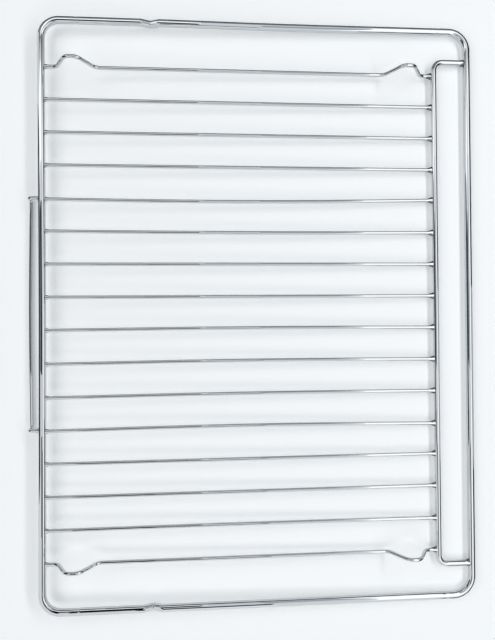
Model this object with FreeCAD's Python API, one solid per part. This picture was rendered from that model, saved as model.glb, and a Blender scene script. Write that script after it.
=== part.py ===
import FreeCAD, Part
import math
import os

os.makedirs("parts", exist_ok=True)

# Oven shelf rack: a frame of bent round rod that carries a grid of thinner wires, all welded end
# to side in one plane and plated together. Each end is coped to the rod that it is welded to.
# +X is the rack's right side seen from the oven door, +Y is the back of the oven, +Z is up.
# Sizes are in millimetres.

# Rods and wires
frame_rod = 5.5             # diameter of the outer frame's rod
bar_rod = 4.5               # diameter of the front bar's rod
wire = 2.8                  # diameter of the grid wires and the rear stop

# Outer frame
rack_width = 445.0          # over the two side rods
frame_depth = 332.0         # over the front and rear rods
front_bend = 15.0           # bend radius of the two front corners, on the rod's centre line
rear_bend = 13.5            # bend radius of the two rear corners
notch_from_rear = 83.4      # from the frame's rear edge to the middle of each stop notch
notch_length = 13.5         # between the two upper corners of a notch
notch_depth = 2.8           # from the upper corners of a notch down to its lower corner
notch_bend = 4.0            # bend radius in a notch

# Front bar, which leaves a slot for the hand behind the front rod
bar_setback = 26.5          # from the front rod's centre line to the bar's
bar_leg_inset = 24.35       # from a side rod's centre line to the bar's leg
bar_bend = 6.5              # bend radius of the bar's two corners

# Grid
wire_count = 16             # wires at one pitch; the outermost on each side has humps
outer_wire_inset = 11.0     # from the bar's leg to the outermost wire
hump_stub = 8.5             # straight end of an outer wire, up to the corner of its hump
hump_base = 29.0            # between the lower corners of a hump
hump_top = 8.5              # between the upper corners of a hump
hump_height = 15.0          # rise of a hump's centre line
hump_bend = 6.5             # bend radius in a hump

# Rear stop, a low U of wire behind the frame
stop_wire = 5               # the wire, counted from the side, that an arm lines up with
stop_reach = 8.0            # how far the stop stands out behind the frame
stop_drop = 6.5             # from the arms down to the cross bar
stop_bend = 2.5             # bend radius of the stop's corners

# Levels and centre lines
grid_level = stop_drop + wire / 2
front_y = -(frame_depth + stop_reach) / 2 + frame_rod / 2
rear_y = front_y + frame_depth - frame_rod
bar_y = front_y + bar_setback
side_x = (rack_width - frame_rod) / 2
leg_x = side_x - bar_leg_inset
outer_wire_x = leg_x - outer_wire_inset
wire_pitch = 2 * outer_wire_x / (wire_count - 1)
across = FreeCAD.Vector(1, 0, 0)

elbow_rings = 6             # sections that a bend is drawn through, from one end to the other


def elbow(before, corner, after, radius, diameter):
    """Bend at a corner, drawn through rings around its arc, with the points where the arc starts and ends."""
    back = (before - corner).normalize()
    ahead = (after - corner).normalize()
    turn = math.pi - back.getAngle(ahead)
    tangent = radius * math.tan(turn / 2)
    centre = corner + (back + ahead).normalize() * (radius / math.cos(turn / 2))
    arc_start = corner + back * tangent
    arc_end = corner + ahead * tangent
    halves = [Part.makeCircle(diameter / 2, arc_start, back, side, side + 180) for side in (0, 180)]
    first_ring = Part.Wire(halves)
    step = math.degrees(turn) / (elbow_rings - 1)
    rings = [first_ring.rotated(centre, ahead.cross(back), index * step) for index in range(elbow_rings)]
    return Part.makeLoft(rings, True), arc_start, arc_end


def straight_rod(start, end, diameter):
    """Plain stretch of rod between two points."""
    return Part.makeCylinder(diameter / 2, (end - start).Length, start, end - start)


def bent_rod(corners, radii, diameter):
    """Round rod along corner points: straight stretches, with an elbow at each corner between the ends."""
    pieces = []
    run_start = corners[0]
    for before, corner, after, radius in zip(corners, corners[1:], corners[2:], radii):
        bend, arc_start, arc_end = elbow(before, corner, after, radius, diameter)
        pieces.append(straight_rod(run_start, arc_start, diameter))
        pieces.append(bend)
        run_start = arc_end
    return straight_rod(run_start, corners[-1], diameter).fuse(pieces)


def rod_core(y, diameter):
    """The straight stretch of a cross rod, which copes the ends that are welded to it."""
    start = FreeCAD.Vector(-rack_width / 2, y, grid_level)
    return Part.makeCylinder(diameter / 2, rack_width, start, across)


def export(name, shape):
    """Write one piece, as one solid without leftover seams."""
    shape.removeSplitter().Solids[0].exportStep("parts/" + name + ".step")


def outer_frame():
    """One rod bent to a rounded rectangle, with a stop notch in each side; its two halves mirror."""
    notch_y = rear_y + frame_rod / 2 - notch_from_rear
    corners = [
        FreeCAD.Vector(0, front_y, grid_level),
        FreeCAD.Vector(side_x, front_y, grid_level),
        FreeCAD.Vector(side_x, notch_y - notch_length / 2, grid_level),
        FreeCAD.Vector(side_x, notch_y, grid_level - notch_depth),
        FreeCAD.Vector(side_x, notch_y + notch_length / 2, grid_level),
        FreeCAD.Vector(side_x, rear_y, grid_level),
        FreeCAD.Vector(0, rear_y, grid_level),
    ]
    radii = [front_bend, notch_bend, notch_bend, notch_bend, rear_bend]
    half = bent_rod(corners, radii, frame_rod)
    return half.fuse(half.mirror(FreeCAD.Vector(0, 0, 0), across))


def front_bar():
    """U of rod whose legs end on the front rod."""
    corners = [
        FreeCAD.Vector(leg_x, front_y, grid_level),
        FreeCAD.Vector(leg_x, bar_y, grid_level),
        FreeCAD.Vector(-leg_x, bar_y, grid_level),
        FreeCAD.Vector(-leg_x, front_y, grid_level),
    ]
    return bent_rod(corners, [bar_bend, bar_bend], bar_rod).cut(rod_core(front_y, frame_rod))


def rear_stop():
    """U of wire whose arms leave the rear rod, turn down and carry a low cross bar."""
    arm_x = outer_wire_x - (stop_wire - 1) * wire_pitch
    bar_back_y = rear_y + frame_rod / 2 + stop_reach - wire / 2
    bar_level = grid_level - stop_drop
    corners = [
        FreeCAD.Vector(arm_x, rear_y, grid_level),
        FreeCAD.Vector(arm_x, bar_back_y, grid_level),
        FreeCAD.Vector(arm_x, bar_back_y, bar_level),
        FreeCAD.Vector(-arm_x, bar_back_y, bar_level),
        FreeCAD.Vector(-arm_x, bar_back_y, grid_level),
        FreeCAD.Vector(-arm_x, rear_y, grid_level),
    ]
    return bent_rod(corners, [stop_bend] * 4, wire).cut(rod_core(rear_y, frame_rod))


def hump_corners(x, start_y):
    """The four corners of one hump of an outer wire, from front to back."""
    slope_run = (hump_base - hump_top) / 2
    top = grid_level + hump_height
    return [
        FreeCAD.Vector(x, start_y, grid_level),
        FreeCAD.Vector(x, start_y + slope_run, top),
        FreeCAD.Vector(x, start_y + slope_run + hump_top, top),
        FreeCAD.Vector(x, start_y + hump_base, grid_level),
    ]


def grid_wire(x, bends):
    """One wire from the front bar to the rear rod, through the corners of its bends if it has any."""
    start = FreeCAD.Vector(x, bar_y, grid_level)
    end = FreeCAD.Vector(x, rear_y, grid_level)
    uncut = bent_rod([start] + bends + [end], [hump_bend] * len(bends), wire)
    return uncut.cut([rod_core(bar_y, bar_rod), rod_core(rear_y, frame_rod)])


def outer_wire(x):
    """Outer grid wire with a hump near each end."""
    front_hump_y = bar_y + bar_rod / 2 + hump_stub
    rear_hump_y = rear_y - frame_rod / 2 - hump_stub - hump_base
    return grid_wire(x, hump_corners(x, front_hump_y) + hump_corners(x, rear_hump_y))


export("outer_frame", outer_frame())
export("front_bar", front_bar())
export("rear_stop", rear_stop())
export("outer_wire_left", outer_wire(-outer_wire_x))
export("outer_wire_right", outer_wire(outer_wire_x))
for index in range(1, wire_count - 1):
    wire_x = -outer_wire_x + index * wire_pitch
    export("grid_wire_%02d" % index, grid_wire(wire_x, []))
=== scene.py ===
import math

import bpy
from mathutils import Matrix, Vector


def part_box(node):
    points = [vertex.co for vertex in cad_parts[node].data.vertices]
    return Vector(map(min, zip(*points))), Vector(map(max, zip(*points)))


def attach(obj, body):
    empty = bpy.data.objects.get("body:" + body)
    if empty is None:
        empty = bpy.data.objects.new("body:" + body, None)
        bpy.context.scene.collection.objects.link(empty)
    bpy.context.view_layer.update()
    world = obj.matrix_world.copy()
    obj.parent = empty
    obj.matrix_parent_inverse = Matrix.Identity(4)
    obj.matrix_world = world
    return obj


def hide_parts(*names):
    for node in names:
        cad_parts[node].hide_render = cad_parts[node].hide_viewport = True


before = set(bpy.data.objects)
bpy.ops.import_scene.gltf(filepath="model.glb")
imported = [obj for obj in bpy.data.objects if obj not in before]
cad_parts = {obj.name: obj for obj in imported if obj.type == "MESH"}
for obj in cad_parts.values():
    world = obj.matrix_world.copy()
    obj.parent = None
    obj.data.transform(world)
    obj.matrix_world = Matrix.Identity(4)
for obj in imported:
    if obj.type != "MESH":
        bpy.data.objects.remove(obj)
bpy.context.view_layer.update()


# Outer frame: one length of bright steel rod, bent to a rounded rectangle and pressed down into a stop
# notch on each side, butt-welded and chrome plated. The bending dies leave a faint ring near each corner.
frame_low, frame_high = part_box("outer_frame")
wire_low, wire_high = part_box("grid_wire_01")
grid_level = (wire_low.z + wire_high.z) / 2
frame_radius = frame_high.z - grid_level
side_x = frame_high.x - frame_radius
front_y = frame_low.y + frame_radius
rear_y = frame_high.y - frame_radius
front_bend = 0.015
rear_bend = 0.0135
notch_from_rear = 0.0834        # from the frame's rear edge to the middle of a notch
notch_length = 0.0135           # between the two upper corners of a notch
notch_bend = 0.004
notch_level = frame_low.z + frame_radius
notch_y = frame_high.y - notch_from_rear
notch_front_y = notch_y - notch_length / 2
notch_rear_y = notch_y + notch_length / 2
right_bow = 0.0006              # how far the right rod is bent inwards
right_bow_y = -0.02             # and where
rear_bow = 0.0005               # how far the rear rod is bent inwards, at its middle
bow_bend = 8.0                  # bend radius of these two bows
front_skew = 0.0007             # how far the front corners are out of square, one forwards and one back
die_mark_depth = 0.00012
die_mark_length = 0.0016        # from the middle of a ring to where it fades out
die_mark_from_front = 0.0225    # from the front rod's centre line to the ring
die_mark_from_rear = 0.0255     # from the rear rod's centre line to the ring
frame_sides = 36                # facets around the rod
bend_facets = 14                # facets along a bend
facet_length = 0.0012           # longest facet along a straight stretch

# Spread of a weld along the rod, from the joint outwards: share of its reach, share of its swell
flare_shape = [(0.0, 1.0), (0.3, 0.8), (0.55, 0.42), (1.0, 0.0)]
knob_shape = [(0.0, 0.45), (0.3, 0.75), (0.5, 1.0), (0.75, 0.6), (1.0, 0.0)]
weld_shade_tilt = 0.75               # a weld takes the near-black colour, part burn and part painted shade, where its normal rises less than this
weld_plain_tilt = 0.97               # and keeps the plate colour where it rises more than this

plate_color = (0.60, 0.615, 0.63, 1.0)
# Near-black colour at the welds: a little burn near each joint, and painted shade on each weld's sides and
# underside.
burn_shade_color = (0.03, 0.029, 0.028, 1.0)
burn_roughness = 0.3
pit_roughness = 0.12
pit_depth = 0.5                 # beside the drawing lines' own height
mark_height = 0.000004
mark_strength = 0.3


def add_node(tree, kind, inputs=None, **settings):
    """A new node: settings go on the node itself, and each input takes a value or another node's output."""
    made = tree.nodes.new(kind)
    for name, value in settings.items():
        setattr(made, name, value)
    for name, value in (inputs or {}).items():
        if isinstance(value, bpy.types.NodeSocket):
            tree.links.new(value, made.inputs[name])
        else:
            made.inputs[name].default_value = value
    return made


def add_sockets(tree, in_out, kind, *names):
    """Named inputs or outputs of one kind on a node tree."""
    for name in names:
        tree.interface.new_socket(name, in_out=in_out, socket_type="NodeSocket" + kind)


def work_out(tree, operation, first, second=0.0):
    """Output of a Math node."""
    return add_node(tree, "ShaderNodeMath", {0: first, 1: second}, operation=operation).outputs[0]


def ramp(tree, value, start, end, first=0.0, last=1.0):
    """Output that goes from first to last while the value goes from start to end."""
    return add_node(tree, "ShaderNodeMapRange", {
        "Value": value, "From Min": start, "From Max": end, "To Min": first, "To Max": last},
        clamp=True).outputs[0]


def shaped(tree, value, points):
    """Output of a Float Curve node that passes through the points given."""
    curve = add_node(tree, "ShaderNodeFloatCurve", {"Value": value})
    line = curve.mapping.curves[0]
    line.points[0].location = points[0]
    line.points[1].location = points[-1]
    for point in points[1:-1]:
        line.points.new(*point)
    curve.mapping.update()
    return curve.outputs[0]


def noise(tree, place, scale, detail, roughness):
    """Output of a noise pattern."""
    return add_node(tree, "ShaderNodeTexNoise", {
        "Vector": place, "Scale": scale, "Detail": detail, "Roughness": roughness}).outputs[0]


def make_bent_rod():
    """Node tree that rounds a line of corner points into bends and sweeps a round rod along it.

    A start or end that is welded spreads to both sides there, along X. The mesh carries rod_space, which is
    the place around the rod and the length along it, and weld, which says how much near-black colour the rod
    takes there: a little burn near a joint, and painted shade on the weld's sides.
    """
    tree = bpy.data.node_groups.new("bent_rod", "GeometryNodeTree")
    add_sockets(tree, "INPUT", "Geometry", "Line")
    add_sockets(tree, "INPUT", "Int", "Sides", "Bend Facets")
    add_sockets(
        tree, "INPUT", "Float", "Rod Radius", "Facet Length", "Start Swell", "Start Reach", "Start Burn Shade",
        "End Swell", "End Reach", "End Burn Shade", "Mark Depth", "Mark Length", "Front Mark", "Rear Mark")
    add_sockets(tree, "INPUT", "Vector", "Bow")
    add_sockets(tree, "INPUT", "Material", "Plating")
    add_sockets(tree, "OUTPUT", "Geometry", "Rod")
    given = tree.nodes.new("NodeGroupInput").outputs

    corners = add_node(tree, "GeometryNodeMeshToCurve", {"Mesh": given["Line"]})
    bend = add_node(tree, "GeometryNodeInputNamedAttribute", {"Name": "bend"}, data_type="FLOAT")
    rounded = add_node(tree, "GeometryNodeFilletCurve", {
        "Curve": corners.outputs[0], "Count": given["Bend Facets"], "Radius": bend.outputs[0],
        "Limit Radius": True}, mode="POLY")

    # Each straight stretch is cut into short facets, so that it can bow and spread.
    here = add_node(tree, "GeometryNodeInputPosition").outputs[0]
    following = add_node(tree, "GeometryNodeOffsetPointInCurve", {"Offset": 1})
    there = add_node(tree, "GeometryNodeFieldAtIndex", {
        "Value": here, "Index": following.outputs["Point Index"]}, data_type="FLOAT_VECTOR", domain="POINT")
    run = add_node(tree, "ShaderNodeVectorMath", {0: here, 1: there.outputs[0]}, operation="DISTANCE")
    parts = work_out(tree, "DIVIDE", run.outputs["Value"], given["Facet Length"])
    cuts = add_node(tree, "FunctionNodeFloatToInt", {"Float": parts}, rounding_mode="FLOOR")
    divided = add_node(tree, "GeometryNodeSubdivideCurve", {
        "Curve": rounded.outputs[0], "Cuts": cuts.outputs[0]})

    along = add_node(tree, "GeometryNodeSplineParameter").outputs
    arch = work_out(tree, "SINE", work_out(tree, "MULTIPLY", along["Factor"], math.pi))
    lean = add_node(tree, "ShaderNodeVectorMath", {0: given["Bow"], "Scale": arch}, operation="SCALE")
    bowed = add_node(tree, "GeometryNodeSetPosition", {
        "Geometry": divided.outputs[0], "Offset": lean.outputs["Vector"]})

    # The start's weld is a flare and the end's is a knob. A rod without one has no swell, no burn and no
    # painted shade there.
    total = add_node(tree, "GeometryNodeSplineLength").outputs["Length"]
    to_end = work_out(tree, "SUBTRACT", total, along["Length"])
    flare = shaped(tree, work_out(tree, "DIVIDE", along["Length"], given["Start Reach"]), flare_shape)
    knob = shaped(tree, work_out(tree, "DIVIDE", to_end, given["End Reach"]), knob_shape)
    swelling = work_out(
        tree, "ADD", work_out(tree, "MULTIPLY", flare, given["Start Swell"]),
        work_out(tree, "MULTIPLY", knob, given["End Swell"]))
    burn_shading = work_out(
        tree, "MAXIMUM", work_out(tree, "MULTIPLY", flare, given["Start Burn Shade"]),
        work_out(tree, "MULTIPLY", knob, given["End Burn Shade"]))

    # A die's ring makes the rod thinner at one place near the front and one near the rear.
    y = add_node(tree, "ShaderNodeSeparateXYZ", {0: here}).outputs["Y"]
    to_rings = [
        work_out(tree, "ABSOLUTE", work_out(tree, "SUBTRACT", y, given[name]))
        for name in ("Front Mark", "Rear Mark")]
    off_ring = work_out(tree, "DIVIDE", work_out(tree, "MINIMUM", *to_rings), given["Mark Length"])
    ring = work_out(tree, "MAXIMUM", work_out(tree, "SUBTRACT", 1.0, off_ring), 0.0)
    dent = work_out(tree, "MULTIPLY", ring, given["Mark Depth"])
    radius = work_out(tree, "SUBTRACT", given["Rod Radius"], dent)

    spine = add_node(tree, "GeometryNodeCaptureAttribute", {"Geometry": bowed.outputs[0]}, domain="POINT")
    carried = {"Along": along["Length"], "Burning": burn_shading, "Swelling": swelling, "Radius": radius}
    for name, value in carried.items():
        spine.capture_items.new("FLOAT", name)
        tree.links.new(value, spine.inputs[name])
    circle = add_node(tree, "GeometryNodeCurvePrimitiveCircle", {
        "Resolution": given["Sides"], "Radius": 1.0}, mode="RADIUS")
    section = add_node(
        tree, "GeometryNodeCaptureAttribute", {"Geometry": circle.outputs[0]}, domain="POINT")
    section.capture_items.new("VECTOR", "Around")
    tree.links.new(here, section.inputs["Around"])
    swept = add_node(tree, "GeometryNodeCurveToMesh", {
        "Curve": spine.outputs["Geometry"], "Profile Curve": section.outputs["Geometry"],
        "Scale": spine.outputs["Radius"], "Fill Caps": True})

    lengthwise = add_node(tree, "ShaderNodeCombineXYZ", {"Z": spine.outputs["Along"]})
    rod_space = add_node(tree, "ShaderNodeVectorMath", {
        0: section.outputs["Around"], 1: lengthwise.outputs[0]}, operation="ADD")
    marked = add_node(
        tree, "GeometryNodeStoreNamedAttribute", {
            "Geometry": swept.outputs[0], "Name": "rod_space", "Value": rod_space.outputs[0]},
        data_type="FLOAT_VECTOR", domain="POINT")
    normal = add_node(tree, "GeometryNodeInputNormal").outputs[0]
    facing = add_node(tree, "ShaderNodeSeparateXYZ", {0: normal}).outputs
    # The burn colour is kept off a weld's upward face and laid on its sides and underside, as painted shade.
    shaded_side = ramp(tree, facing["Z"], weld_shade_tilt, weld_plain_tilt, first=1.0, last=0.0)
    burn_shaded = add_node(
        tree, "GeometryNodeStoreNamedAttribute", {
            "Geometry": marked.outputs[0], "Name": "weld",
            "Value": work_out(tree, "MULTIPLY", spine.outputs["Burning"], shaded_side)},
        data_type="FLOAT", domain="POINT")
    sideways = add_node(tree, "ShaderNodeCombineXYZ", {
        "X": work_out(tree, "MULTIPLY", facing["X"], spine.outputs["Swelling"])})
    spread = add_node(tree, "GeometryNodeSetPosition", {
        "Geometry": burn_shaded.outputs[0], "Offset": sideways.outputs[0]})
    smooth = add_node(tree, "GeometryNodeSetShadeSmooth", {"Geometry": spread.outputs[0]})
    real = add_node(tree, "GeometryNodeRealizeInstances", {"Geometry": smooth.outputs[0]})
    plated = add_node(tree, "GeometryNodeSetMaterial", {
        "Geometry": real.outputs[0], "Material": given["Plating"]})
    tree.links.new(plated.outputs[0], tree.nodes.new("NodeGroupOutput").inputs["Rod"])
    return tree


def make_plate_marks():
    """Shader group for plated rod: drawing lines along it, a haze of handling, fine pits, and dark welds of
    burn and painted shade.
    """
    group = bpy.data.node_groups.new("plate_marks", "ShaderNodeTree")
    add_sockets(group, "INPUT", "Color", "Plate Color", "Burn Shade Color")
    add_sockets(group, "INPUT", "Float", "Lines Around", "Line Length", "Haze")
    add_sockets(group, "OUTPUT", "Color", "Color")
    add_sockets(group, "OUTPUT", "Float", "Roughness", "Height")
    given = group.nodes.new("NodeGroupInput").outputs

    rod_space = add_node(group, "ShaderNodeAttribute", attribute_name="rod_space").outputs["Vector"]
    lines_along = work_out(group, "DIVIDE", 1.0, given["Line Length"])
    stretch = add_node(group, "ShaderNodeCombineXYZ", {
        "X": given["Lines Around"], "Y": given["Lines Around"], "Z": lines_along})
    drawn = add_node(group, "ShaderNodeVectorMath", {
        0: rod_space, 1: stretch.outputs[0]}, operation="MULTIPLY")
    lines = noise(group, drawn.outputs[0], scale=1.0, detail=2.0, roughness=0.5)
    line_shade = ramp(group, lines, start=0.3, end=0.7, first=0.96)

    place = add_node(group, "ShaderNodeTexCoord").outputs["Object"]
    handling = noise(group, place, scale=70.0, detail=3.0, roughness=0.55)
    grit = noise(group, place, scale=1500.0, detail=2.0, roughness=0.5)
    pits = ramp(group, grit, start=0.66, end=0.76)

    # Near-black weld colour from the weld attribute: a little burn at each joint, and painted shade on the
    # weld's sides.
    burn_shade_mask = add_node(group, "ShaderNodeAttribute", attribute_name="weld").outputs["Fac"]
    burn_shade_area = ramp(group, burn_shade_mask, start=0.02, end=0.12)
    oxide = noise(group, place, scale=900.0, detail=3.0, roughness=0.6)
    burn_and_shade = work_out(group, "MULTIPLY", burn_shade_area, ramp(group, oxide, start=0.35, end=0.7, first=0.6))

    # In the Mix node, socket 0 is the share, 6 and 7 are the two colours, and output 2 is the mixed colour.
    drawn_tone = add_node(group, "ShaderNodeVectorMath", {
        0: given["Plate Color"], "Scale": line_shade}, operation="SCALE").outputs["Vector"]
    tone = add_node(
        group, "ShaderNodeMix", {0: burn_and_shade, 6: drawn_tone, 7: given["Burn Shade Color"]}, data_type="RGBA")

    haze = work_out(group, "MULTIPLY", handling, given["Haze"])
    dull_burn = work_out(group, "MULTIPLY", burn_and_shade, burn_roughness)
    dull_pits = work_out(group, "MULTIPLY", pits, pit_roughness)
    roughness = work_out(group, "ADD", work_out(group, "ADD", haze, dull_burn), dull_pits)
    crust = work_out(group, "MULTIPLY", burn_and_shade, oxide)
    hollows = work_out(group, "MULTIPLY", pits, pit_depth)
    height = work_out(group, "SUBTRACT", work_out(group, "ADD", lines, crust), hollows)

    put_out = group.nodes.new("NodeGroupOutput").inputs
    group.links.new(tone.outputs[2], put_out["Color"])
    group.links.new(roughness, put_out["Roughness"])
    group.links.new(height, put_out["Height"])
    return group


bent_rod = make_bent_rod()
plate_marks = make_plate_marks()


def chrome_plating(name, lines_around, line_length, haze):
    """Bright chrome plate over drawn steel rod of one thickness."""
    material = bpy.data.materials.new(name)
    material.use_nodes = True
    tree = material.node_tree
    shader = tree.nodes["Principled BSDF"]
    marks = add_node(tree, "ShaderNodeGroup", {
        "Plate Color": plate_color, "Burn Shade Color": burn_shade_color, "Lines Around": lines_around,
        "Line Length": line_length, "Haze": haze}, node_tree=plate_marks)
    bump = add_node(tree, "ShaderNodeBump", {
        "Height": marks.outputs["Height"], "Strength": mark_strength, "Distance": mark_height})
    shader.inputs["Metallic"].default_value = 1.0
    tree.links.new(marks.outputs["Color"], shader.inputs["Base Color"])
    tree.links.new(marks.outputs["Roughness"], shader.inputs["Roughness"])
    tree.links.new(bump.outputs["Normal"], shader.inputs["Normal"])
    return material


def rod_piece(name, corners, bends, sizes, closed=False):
    """Rod bent through the corner points, which stands for the CAD node of the same name."""
    line_mesh = bpy.data.meshes.new(name + "_line")
    runs = [(index, index + 1) for index in range(len(corners) - 1)]
    if closed:
        runs.append((len(corners) - 1, 0))
    line_mesh.from_pydata(corners, runs, [])
    line_mesh.attributes.new("bend", "FLOAT", "POINT").data.foreach_set("value", bends)
    line = bpy.data.objects.new(name + "_line", line_mesh)
    bpy.context.scene.collection.objects.link(line)
    sweep = line.modifiers.new("sweep", "NODES")
    sweep.node_group = bent_rod
    settings = {"Bend Facets": bend_facets, "Facet Length": facet_length, **sizes}
    for socket in bent_rod.interface.items_tree:
        if socket.in_out == "INPUT" and socket.name in settings:
            sweep[socket.identifier] = settings[socket.name]
    evaluated = line.evaluated_get(bpy.context.evaluated_depsgraph_get())
    piece = bpy.data.objects.new(name + "_rod", bpy.data.meshes.new_from_object(evaluated))
    bpy.context.scene.collection.objects.link(piece)
    bpy.data.objects.remove(line)
    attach(piece, "root")
    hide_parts(name)


frame_plating = chrome_plating("frame_chrome", lines_around=3.0, line_length=0.030, haze=0.05)
frame_corners = [
    (side_x, front_y - front_skew, grid_level),
    (side_x - right_bow, right_bow_y, grid_level),
    (side_x, notch_front_y, grid_level),
    (side_x, notch_y, notch_level),
    (side_x, notch_rear_y, grid_level),
    (side_x, rear_y, grid_level),
    (0.0, rear_y - rear_bow, grid_level),
    (-side_x, rear_y, grid_level),
    (-side_x, notch_rear_y, grid_level),
    (-side_x, notch_y, notch_level),
    (-side_x, notch_front_y, grid_level),
    (-side_x, front_y + front_skew, grid_level),
]
notch_bends = [notch_bend] * 3
frame_bends = [
    front_bend, bow_bend, *notch_bends, rear_bend, bow_bend, rear_bend, *notch_bends, front_bend]
frame_sizes = {
    "Rod Radius": frame_radius, "Sides": frame_sides, "Mark Depth": die_mark_depth,
    "Mark Length": die_mark_length, "Front Mark": front_y + die_mark_from_front,
    "Rear Mark": rear_y - die_mark_from_rear, "Plating": frame_plating}
rod_piece("outer_frame", frame_corners, frame_bends, frame_sizes, closed=True)


# Front bar: a U of thinner steel rod whose legs are welded end-on to the frame's front rod. It carries the
# front ends of the grid wires and leaves a slot for the fingers behind the front rod.
bar_low, bar_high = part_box("front_bar")
bar_radius = (bar_high.z - bar_low.z) / 2
leg_x = bar_high.x - bar_radius
bar_y = bar_high.y - bar_radius
bar_bend = 0.0065
bar_skew = 0.0004               # how far the corners are out of square, one forwards and one back
bar_sides = 32
weld_overlap = 0.0008           # how far a welded end goes into the rod that it meets
leg_end = front_y + frame_radius - weld_overlap
leg_swell = 0.0005
leg_reach = 0.003
# Share of the near-black weld colour at the legs: a little burn, and painted shade on the welds' sides.
leg_burn_shade = 0.5


def weld(end, swell, reach, burn_shade):
    """Sizes of the weld at a rod's Start or End: its spread to each side, its length and its share of burn
    and painted shade.
    """
    return {end + " Swell": swell, end + " Reach": reach, end + " Burn Shade": burn_shade}


bar_plating = chrome_plating("bar_chrome", lines_around=2.6, line_length=0.025, haze=0.05)
bar_corners = [
    (leg_x, leg_end, grid_level),
    (leg_x, bar_y - bar_skew, grid_level),
    (-leg_x, bar_y + bar_skew, grid_level),
    (-leg_x, leg_end, grid_level),
]
bar_sizes = {
    "Rod Radius": bar_radius, "Sides": bar_sides, "Plating": bar_plating,
    **weld("Start", leg_swell, leg_reach, leg_burn_shade), **weld("End", leg_swell, leg_reach, leg_burn_shade)}
rod_piece("front_bar", bar_corners, [0.0, bar_bend, bar_bend, 0.0], bar_sizes)


# Grid wires: straight steel wires, resistance-welded end-on between the front bar and the rear rod. Each
# front end is pressed out to a flare by the weld, and each rear end to a small knob.
wire_radius = (wire_high.z - wire_low.z) / 2
wire_sides = 24
flare_overlap = 0.0012          # how far a flare goes into the front bar
front_end = bar_y + bar_radius - flare_overlap
rear_end = rear_y - frame_radius + weld_overlap
flare_swell = 0.0014
flare_reach = 0.0052
# The burn shares below set each weld's near-black colour: a little burn, and painted shade on its sides.
flare_burn_shade = 1.0
knob_swell = 0.00045
knob_reach = 0.0034
knob_burn_shade = 0.055

# How far a wire's middle is bent to the right, and how far its front and rear ends are set to the right
wire_bows = {
    "grid_wire_01": 0.0004, "grid_wire_04": 0.0014, "grid_wire_05": 0.0008, "grid_wire_06": 0.0010,
    "grid_wire_07": 0.0008, "grid_wire_10": -0.0006, "grid_wire_11": -0.0015}
wire_leans = {
    "grid_wire_02": (0.0005, -0.0002), "grid_wire_03": (0.0005, -0.0003),
    "grid_wire_04": (-0.0007, -0.0006), "grid_wire_05": (0.0, -0.0007),
    "grid_wire_06": (0.0, -0.0005), "grid_wire_11": (0.0008, -0.0007)}

wire_plating = chrome_plating("wire_chrome", lines_around=2.2, line_length=0.018, haze=0.06)
wire_sizes = {
    "Rod Radius": wire_radius, "Sides": wire_sides, "Plating": wire_plating,
    **weld("Start", flare_swell, flare_reach, flare_burn_shade), **weld("End", knob_swell, knob_reach, knob_burn_shade)}
for name in sorted(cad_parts):
    if name.startswith("grid_wire"):
        low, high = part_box(name)
        wire_x = (low.x + high.x) / 2
        front_lean, rear_lean = wire_leans.get(name, (0.0, 0.0))
        ends = [(wire_x + front_lean, front_end, grid_level), (wire_x + rear_lean, rear_end, grid_level)]
        bow = (wire_bows.get(name, 0.0), 0.0, 0.0)
        rod_piece(name, ends, [0.0, 0.0], {**wire_sizes, "Bow": bow})


# Outer wires: the outermost wires of the grid, of the same steel wire, with a hump pressed up near each end
# that keeps a tray from sliding sideways. They are welded like the others.
hump_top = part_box("outer_wire_left")[1].z - wire_radius
hump_stub = 0.0085              # straight end of the wire, up to the corner of its hump
hump_base = 0.029               # between the lower corners of a hump
hump_crown = 0.0085             # between its upper corners
hump_bend = 0.0065
hump_slope = (hump_base - hump_crown) / 2
front_hump_y = bar_y + bar_radius + hump_stub
rear_hump_y = rear_y - frame_radius - hump_stub - hump_base
for name in ("outer_wire_left", "outer_wire_right"):
    low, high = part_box(name)
    wire_x = (low.x + high.x) / 2
    hump_corners = []
    for hump_y in (front_hump_y, rear_hump_y):
        hump_corners += [
            (wire_x, hump_y, grid_level),
            (wire_x, hump_y + hump_slope, hump_top),
            (wire_x, hump_y + hump_slope + hump_crown, hump_top),
            (wire_x, hump_y + hump_base, grid_level),
        ]
    corners = [(wire_x, front_end, grid_level), *hump_corners, (wire_x, rear_end, grid_level)]
    rod_piece(name, corners, [0.0, *[hump_bend] * len(hump_corners), 0.0], wire_sizes)


# Rear stop: a low U of the same wire, welded behind the rear rod. Its cross bar hangs below the frame and
# meets the back of the oven before the rack does.
stop_low, stop_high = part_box("rear_stop")
arm_x = stop_high.x - wire_radius
stop_y = stop_high.y - wire_radius
stop_level = stop_low.z + wire_radius
arm_start = rear_y + frame_radius - weld_overlap
stop_bend = 0.0025
stop_bow = 0.0011               # how far the middle of the cross bar is bent to the rear
stop_bow_bend = 3.0             # bend radius of this bow
arm_swell = 0.0004
arm_reach = 0.0025
# Share of the near-black weld colour at the arms: a little burn, and painted shade on the welds' sides.
arm_burn_shade = 0.055
stop_corners = [
    (arm_x, arm_start, grid_level),
    (arm_x, stop_y, grid_level),
    (arm_x, stop_y, stop_level),
    (0.0, stop_y + stop_bow, stop_level),
    (-arm_x, stop_y, stop_level),
    (-arm_x, stop_y, grid_level),
    (-arm_x, arm_start, grid_level),
]
stop_bends = [0.0, stop_bend, stop_bend, stop_bow_bend, stop_bend, stop_bend, 0.0]
stop_sizes = {
    "Rod Radius": wire_radius, "Sides": wire_sides, "Plating": wire_plating,
    **weld("Start", arm_swell, arm_reach, arm_burn_shade), **weld("End", arm_swell, arm_reach, arm_burn_shade)}
rod_piece("rear_stop", stop_corners, stop_bends, stop_sizes)


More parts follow.
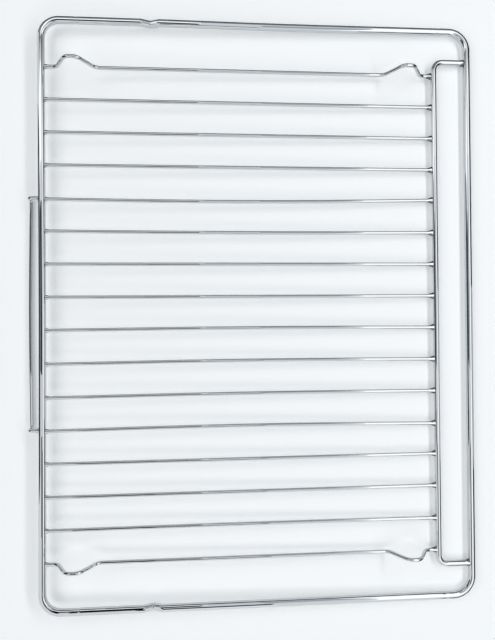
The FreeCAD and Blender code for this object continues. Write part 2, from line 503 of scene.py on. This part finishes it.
# Table top: pale matt board. The rack rests on its rear stop and its front rod, so the board lies at a
# small slope in the rack's own frame.
board_half = 3.0
board_slope = (grid_level - frame_radius - stop_low.z) / (front_y - stop_y)
board_color = (0.875, 0.905, 0.92, 1.0)
board_glow = 0.33               # under the rack
far_glow = 0.60                 # added far from the rack, where the lamps don't reach
near_distance = 0.5             # from the middle of the rack to where the added glow starts
far_distance = 1.4              # and to where it is full


def stage_card(name, corners, material):
    """Flat four-cornered piece of the set, which is not part of the rack."""
    card_mesh = bpy.data.meshes.new(name)
    card_mesh.from_pydata(corners, [], [(0, 1, 2, 3)])
    card = bpy.data.objects.new(name, card_mesh)
    card.data.materials.append(material)
    bpy.context.scene.collection.objects.link(card)
    return card


def seen_ray(tree):
    """1 for a ray from the camera, or one that a mirror or glass sends on from it, and 0 for other light."""
    rays = add_node(tree, "ShaderNodeLightPath").outputs
    mirrored = work_out(tree, "MAXIMUM", rays["Is Glossy Ray"], rays["Is Transmission Ray"])
    return work_out(tree, "MAXIMUM", rays["Is Camera Ray"], mirrored)


board_paint = bpy.data.materials.new("board_paint")
board_paint.use_nodes = True
board_tree = board_paint.node_tree
board_shader = board_tree.nodes["Principled BSDF"]
board_shader.inputs["Base Color"].default_value = board_color
board_shader.inputs["Roughness"].default_value = 1.0
board_shader.inputs["Specular IOR Level"].default_value = 0.0
board_shader.inputs["Emission Color"].default_value = board_color
board_place = add_node(board_tree, "ShaderNodeTexCoord").outputs["Object"]
distance = add_node(board_tree, "ShaderNodeVectorMath", {0: board_place}, operation="LENGTH").outputs["Value"]
glow = ramp(
    board_tree, distance, near_distance, far_distance, first=board_glow, last=board_glow + far_glow)
seen_glow = work_out(board_tree, "MULTIPLY", seen_ray(board_tree), glow)
board_tree.links.new(seen_glow, board_shader.inputs["Emission Strength"])
front_edge_z = stop_low.z + board_slope * (-board_half - stop_y)
rear_edge_z = stop_low.z + board_slope * (board_half - stop_y)
board_corners = [
    (-board_half, -board_half, front_edge_z),
    (board_half, -board_half, front_edge_z),
    (board_half, board_half, rear_edge_z),
    (-board_half, board_half, rear_edge_z),
]
stage_card("board", board_corners, board_paint)


# Mirror cards: pale, grey and black cards over and around the set, which the plated rods mirror as their
# light and dark lines. Only mirror rays meet them, so they throw no shadow and stay out of every view.
panel_z = 0.40                  # level of the panels and flags above the set
corner_flag_z = 0.20
ceiling_z = 1.20
front_flag_y = -0.30
front_flag_z = (-0.02, 0.17)
card_white = (1.72, 1.73, 1.74, 1.0)
card_pale = (1.20, 1.21, 1.22, 1.0)
card_cloud = (0.90, 0.92, 0.94, 1.0)
card_sky = (0.90, 0.98, 1.07, 1.0)
card_blue = (0.50, 0.57, 0.65, 1.0)
card_slate = (0.50, 0.51, 0.53, 1.0)
card_coal = (0.07, 0.072, 0.075, 1.0)
card_black = (0.012, 0.012, 0.014, 1.0)


def mirror_card(name, corners, color):
    """Card that only the rack's reflections show."""
    cloth = bpy.data.materials.new(name + "_cloth")
    cloth.use_nodes = True
    cloth_tree = cloth.node_tree
    cloth_tree.nodes.remove(cloth_tree.nodes["Principled BSDF"])
    shine = add_node(cloth_tree, "ShaderNodeEmission", {"Color": color, "Strength": 1.0})
    cloth_tree.links.new(shine.outputs[0], cloth_tree.nodes["Material Output"].inputs["Surface"])
    card = stage_card(name, corners, cloth)
    card.visible_camera = False
    card.visible_diffuse = False
    card.visible_shadow = False
    card.visible_transmission = False


def level_card(name, color, x, y, z):
    """Mirror card that lies level above the set, over a range of x and y."""
    mirror_card(name, [(x[0], y[0], z), (x[1], y[0], z), (x[1], y[1], z), (x[0], y[1], z)], color)


def cross_card(name, color, x, y, z):
    """Mirror card that stands across the set, in front of the rack or behind it, over a range of x and z."""
    mirror_card(name, [(x[0], y, z[0]), (x[1], y, z[0]), (x[1], y, z[1]), (x[0], y, z[1])], color)


def side_card(name, color, x, y, z):
    """Mirror card that stands at one side of the set, over a range of y and z."""
    mirror_card(name, [(x, y[0], z[0]), (x, y[1], z[0]), (x, y[1], z[1]), (x, y[0], z[1])], color)


level_card("front_panel", card_white, x=(-0.45, 0.40), y=(-0.42, -0.205), z=panel_z)
level_card("middle_front_panel", card_blue, x=(-0.08, 0.25), y=(-0.205, -0.04), z=panel_z)
level_card("middle_rear_panel", card_sky, x=(-0.08, 0.25), y=(-0.04, 0.056), z=panel_z)
level_card("middle_left_panel", card_cloud, x=(-0.20, -0.08), y=(-0.205, 0.30), z=panel_z)
level_card("left_flag", card_black, x=(-0.42, -0.20), y=(-0.05, 0.15), z=panel_z)
level_card("corner_flag", card_black, x=(-0.24, -0.13), y=(0.10, 0.19), z=corner_flag_z)
level_card("boom_flag", card_black, x=(-0.08, 0.18), y=(0.056, 0.42), z=panel_z)
level_card("right_panel", card_white, x=(0.24, 0.39), y=(0.05, 0.55), z=panel_z)
level_card("ceiling_flag", card_coal, x=(0.88, 1.50), y=(-1.2, 1.2), z=ceiling_z)
cross_card("rear_flag", card_black, x=(-0.26, 0.31), y=0.52, z=(0.0, 0.42))
cross_card("front_right_flag", card_black, x=(0.03, 0.60), y=front_flag_y, z=front_flag_z)
cross_card("front_left_flag", card_black, x=(-0.60, -0.16), y=front_flag_y, z=front_flag_z)
cross_card("front_middle_flag", card_slate, x=(-0.16, 0.03), y=front_flag_y, z=front_flag_z)
side_card("left_panel", card_pale, x=-0.55, y=(-0.06, 0.16), z=(0.10, 0.40))
side_card("right_low_flag", card_black, x=0.75, y=(-0.9, 0.9), z=(-0.02, 0.40))


# Studio light: a narrow strip in front of the rack is the key, and broader, softer lamps stand behind it
# and at both sides. The surround adds a little even light, and looks white to the camera and the rods.
surround_color = (0.97, 0.985, 1.0, 1.0)
surround_light = 0.03           # strength of what falls on the set
surround_shine = 1.05           # strength of what is seen, straight or in a mirror


def soft_lamp(name, place, width, depth, power):
    """Area lamp that faces the middle of the rack and isn't mirrored by it."""
    lamp_data = bpy.data.lights.new(name, "AREA")
    lamp_data.shape = "RECTANGLE"
    lamp_data.size = width
    lamp_data.size_y = depth
    lamp_data.energy = power
    lamp = bpy.data.objects.new(name, lamp_data)
    lamp.location = place
    lamp.rotation_euler = Vector(place).to_track_quat("Z", "Y").to_euler()
    lamp.visible_camera = False
    lamp.visible_glossy = False
    bpy.context.scene.collection.objects.link(lamp)


soft_lamp("front_key", place=(0.10, -0.60, 0.58), width=1.30, depth=0.09, power=3.5)
soft_lamp("rear_fill", place=(0.10, 0.70, 0.62), width=1.30, depth=0.60, power=4.2)
soft_lamp("right_fill", place=(0.55, 0.0, 0.42), width=0.80, depth=0.30, power=0.50)
soft_lamp("left_fill", place=(-0.55, 0.0, 0.42), width=0.80, depth=0.22, power=0.95)
surround = bpy.data.worlds.new("surround")
surround.use_nodes = True
sky = surround.node_tree
background = sky.nodes["Background"]
background.inputs["Color"].default_value = surround_color
seen_shine = work_out(sky, "MULTIPLY", seen_ray(sky), surround_shine - surround_light)
sky.links.new(work_out(sky, "ADD", seen_shine, surround_light), background.inputs["Strength"])
bpy.context.scene.world = surround


# Camera: held above the rack and looking down on it, a little to the left and rear of its middle, with the
# rack's right side at the top of the picture.
camera_place = (-0.01024, 0.03029, 0.37193)
camera_turn = (0.760, -3.708, -90.479)      # degrees
camera_lens = 27.0                          # millimetres
camera_sensor = 36.0                        # millimetres
nearest_seen = 0.01
camera_data = bpy.data.cameras.new("camera")
camera_data.lens = camera_lens
camera_data.sensor_width = camera_sensor
camera_data.clip_start = nearest_seen
camera = bpy.data.objects.new("camera", camera_data)
camera.location = camera_place
camera.rotation_euler = [math.radians(angle) for angle in camera_turn]
bpy.context.scene.collection.objects.link(camera)
bpy.context.scene.camera = camera
bpy.context.scene.view_settings.view_transform = "Standard"
